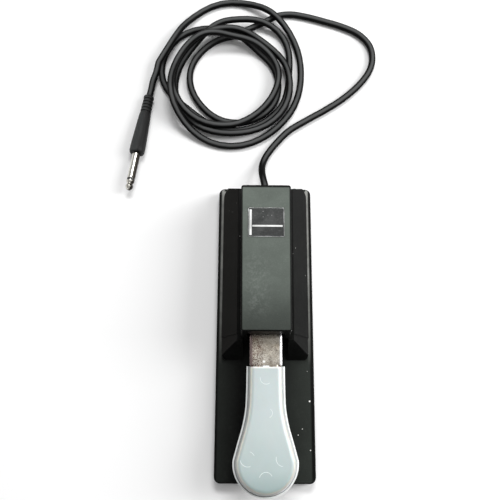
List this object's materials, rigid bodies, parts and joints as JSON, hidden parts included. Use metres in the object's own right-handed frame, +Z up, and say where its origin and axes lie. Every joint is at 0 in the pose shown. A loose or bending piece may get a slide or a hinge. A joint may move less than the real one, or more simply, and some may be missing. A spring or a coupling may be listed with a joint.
{
  "type": "sustain pedal",
  "caption": "Piano-style keyboard sustain pedal: weighted base, raised housing, rocking metal lever with a plastic cover, and a lead with a 6.35 mm plug.",
  "frame": {"origin": "on the floor, under the centre of the base", "axes": "+X to the right seen from the player, +Y to the back where the lead leaves, +Z up"},
  "size_m": [0.2044, 0.4114, 0.058],
  "materials": {
    "black_plastic": "satin moulded black plastic with a fine texture",
    "black_rubber": "dull black rubber",
    "cord_rubber": "smooth matt charcoal cord jacket",
    "lever_nickel": "worn nickel plate with fine speckles and scratches",
    "cover_plastic": "milky pale blue-white plastic",
    "steel": "zinc-plated steel",
    "dark_steel": "blackened steel",
    "brass": "bright brass",
    "nylon": "natural nylon",
    "switch_plastic": "dark phenolic plastic",
    "red_plastic": "red plastic",
    "insulator": "black insulating plastic",
    "badge": "glossy dark name plate left blank"
  },
  "bodies": {
    "root": {"badge_plate": "badge", "ballast_plate": "dark_steel", "ballast_screw_1": "dark_steel", "ballast_screw_2": "dark_steel", "base_plate": "black_plastic", "base_screw_1": "dark_steel", "base_screw_2": "dark_steel", "base_screw_3": "dark_steel", "base_screw_4": "dark_steel", "bracket_screw_1": "dark_steel", "bracket_screw_2": "dark_steel", "bracket_screw_3": "dark_steel", "bracket_screw_4": "dark_steel", "clamp_screw_1": "dark_steel", "clamp_screw_2": "dark_steel", "cord_clamp": "nylon", "cord_coil": "cord_rubber", "cord_grommet": "black_rubber", "cord_inner": "cord_rubber", "cord_lead": "cord_rubber", "cord_tail": "cord_rubber", "e_clip_left": "dark_steel", "e_clip_right": "dark_steel", "front_stop_pad": "black_rubber", "housing_shell": "black_plastic", "microswitch_body": "switch_plastic", "pivot_axle": "steel", "pivot_bracket": "steel", "plug_handle": "black_rubber", "plug_insulator": "insulator", "plug_sleeve": "lever_nickel", "plug_tip": "lever_nickel", "polarity_screw_1": "dark_steel", "polarity_screw_2": "dark_steel", "polarity_switch_body": "switch_plastic", "rear_stop_pad": "black_rubber", "return_spring": "dark_steel", "rubber_mat": "black_rubber", "spring_seat": "nylon", "switch_screw_1": "dark_steel", "switch_screw_2": "dark_steel", "terminal_closed": "brass", "terminal_common": "brass", "terminal_open": "brass", "wire_closed": "red_plastic", "wire_open": "red_plastic", "wire_sleeve": "insulator", "wire_tip": "red_plastic"},
    "lever": {"pedal_lever": "lever_nickel", "pedal_cover": "cover_plastic", "pivot_bush_right": "nylon", "pivot_bush_left": "nylon"},
    "switch_leaf": {"microswitch_leaf": "steel"},
    "switch_button": {"microswitch_button": "red_plastic"},
    "polarity_thumb": {"polarity_slider": "insulator"}
  },
  "joints": [
    {"name": "pedal_hinge", "type": "hinge", "parent": "root", "child": "lever", "pos_m": [0, 0.042, 0.034], "axis": [1, 0, 0], "range_deg": [0, 6], "stiffness_Nm_per_rad": 8, "springref_deg": -5.73, "deforming": ["return_spring"]},
    {"name": "leaf_hinge", "type": "hinge", "parent": "root", "child": "switch_leaf", "pos_m": [0, 0.062, 0.0278], "axis": [1, 0, 0], "range_deg": [0, 14.5]},
    {"name": "button_slide", "type": "slide", "parent": "root", "child": "switch_button", "axis": [0, 0, 1], "range_m": [0, 0.0008]},
    {"name": "polarity_slide", "type": "slide", "parent": "root", "child": "polarity_thumb", "axis": [1, 0, 0], "range_m": [0, 0.004]}
  ],
  "couplings": [
    {"joint": "leaf_hinge", "follows": "pedal_hinge", "ratio": 2.4},
    {"joint": "button_slide", "follows": "pedal_hinge", "m_per_rad": 0.0075}
  ]
}
